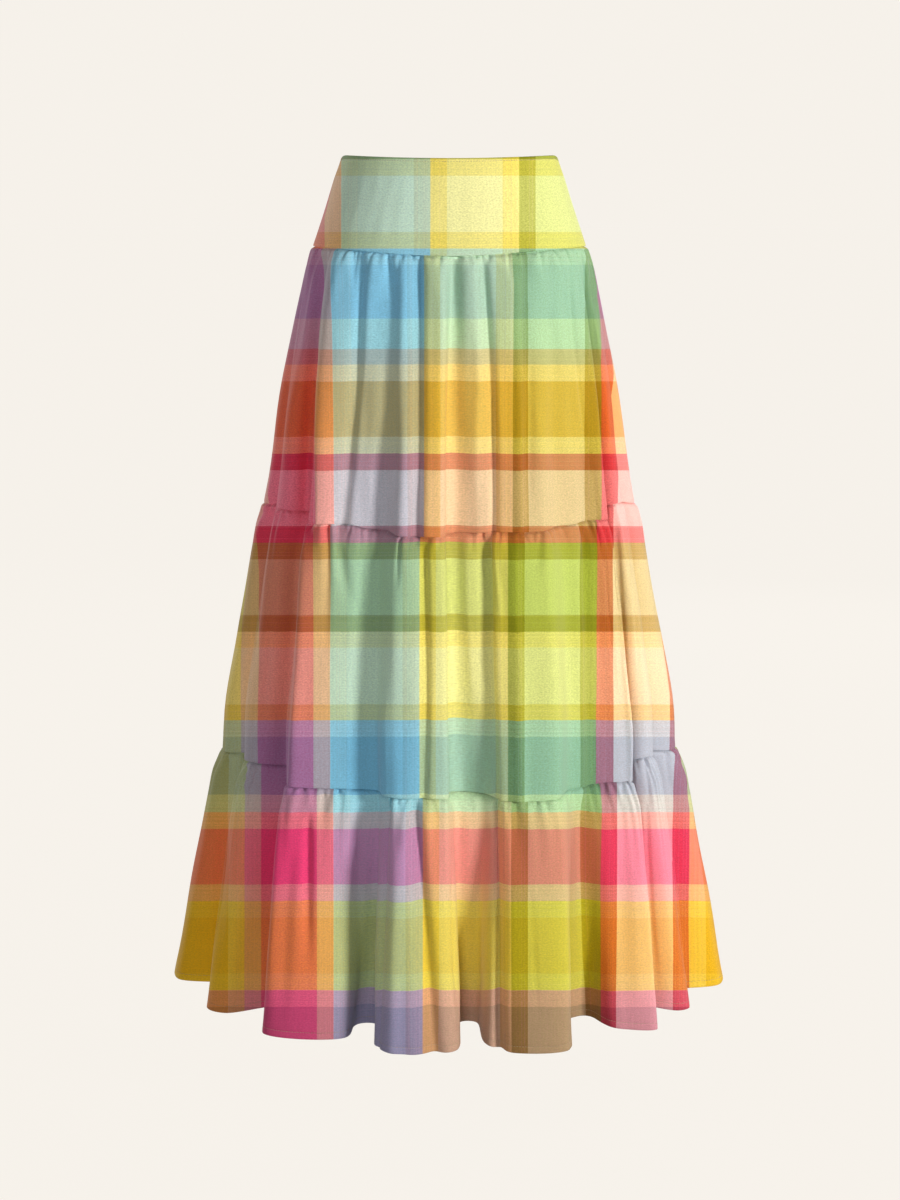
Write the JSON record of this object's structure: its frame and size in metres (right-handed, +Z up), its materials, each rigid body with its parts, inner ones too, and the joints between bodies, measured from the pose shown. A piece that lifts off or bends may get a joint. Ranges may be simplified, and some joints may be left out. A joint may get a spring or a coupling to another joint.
{
  "type": "tiered maxi skirt",
  "caption": "Long flared skirt with a smooth high yoke over three gathered tiers in folds, hollow and open at waist and hem, with a concealed back zip.",
  "frame": {"origin": "middle of the waist opening, at the height of the waist's front edge", "axes": "+Z up out of the waist, -Y the front, +X the right side in a front view; held at the waist, the skirt hangs down along -Z"},
  "size_m": [0.6687, 0.5383, 0.9873],
  "materials": {
    "yoke_cloth": "plain woven cotton check, pale yellow and green, matte",
    "tier_1_cloth": "plain woven cotton check, blue, yellow and red, matte",
    "tier_2_cloth": "plain woven cotton check, green, lime and blue, matte",
    "tier_3_cloth": "plain woven cotton check, pink, orange and olive, matte",
    "zip_tape": "woven zip tape, matte",
    "zip_metal": "satin enamel on a small cast slider and pull"
  },
  "bodies": {
    "skirt": {"yoke_front": "yoke_cloth", "yoke_back_left": "yoke_cloth", "yoke_back_right": "yoke_cloth", "tier1_front": "tier_1_cloth", "tier1_back_left": "tier_1_cloth", "tier1_back_right": "tier_1_cloth", "tier2_front": "tier_2_cloth", "tier2_back": "tier_2_cloth", "tier3_front": "tier_3_cloth", "tier3_back": "tier_3_cloth", "zip_tape_left": "zip_tape", "zip_tape_right": "zip_tape", "zip_slider": "zip_metal"},
    "zip_pull": {"zip_pull": "zip_metal"}
  },
  "joints": [
    {"name": "zip_pull_hinge", "type": "hinge", "parent": "skirt", "child": "zip_pull", "pos_m": [0.0001, 0.0984, -0.0135], "axis": [1, 0, 0], "range_deg": [0, 150]}
  ]
}
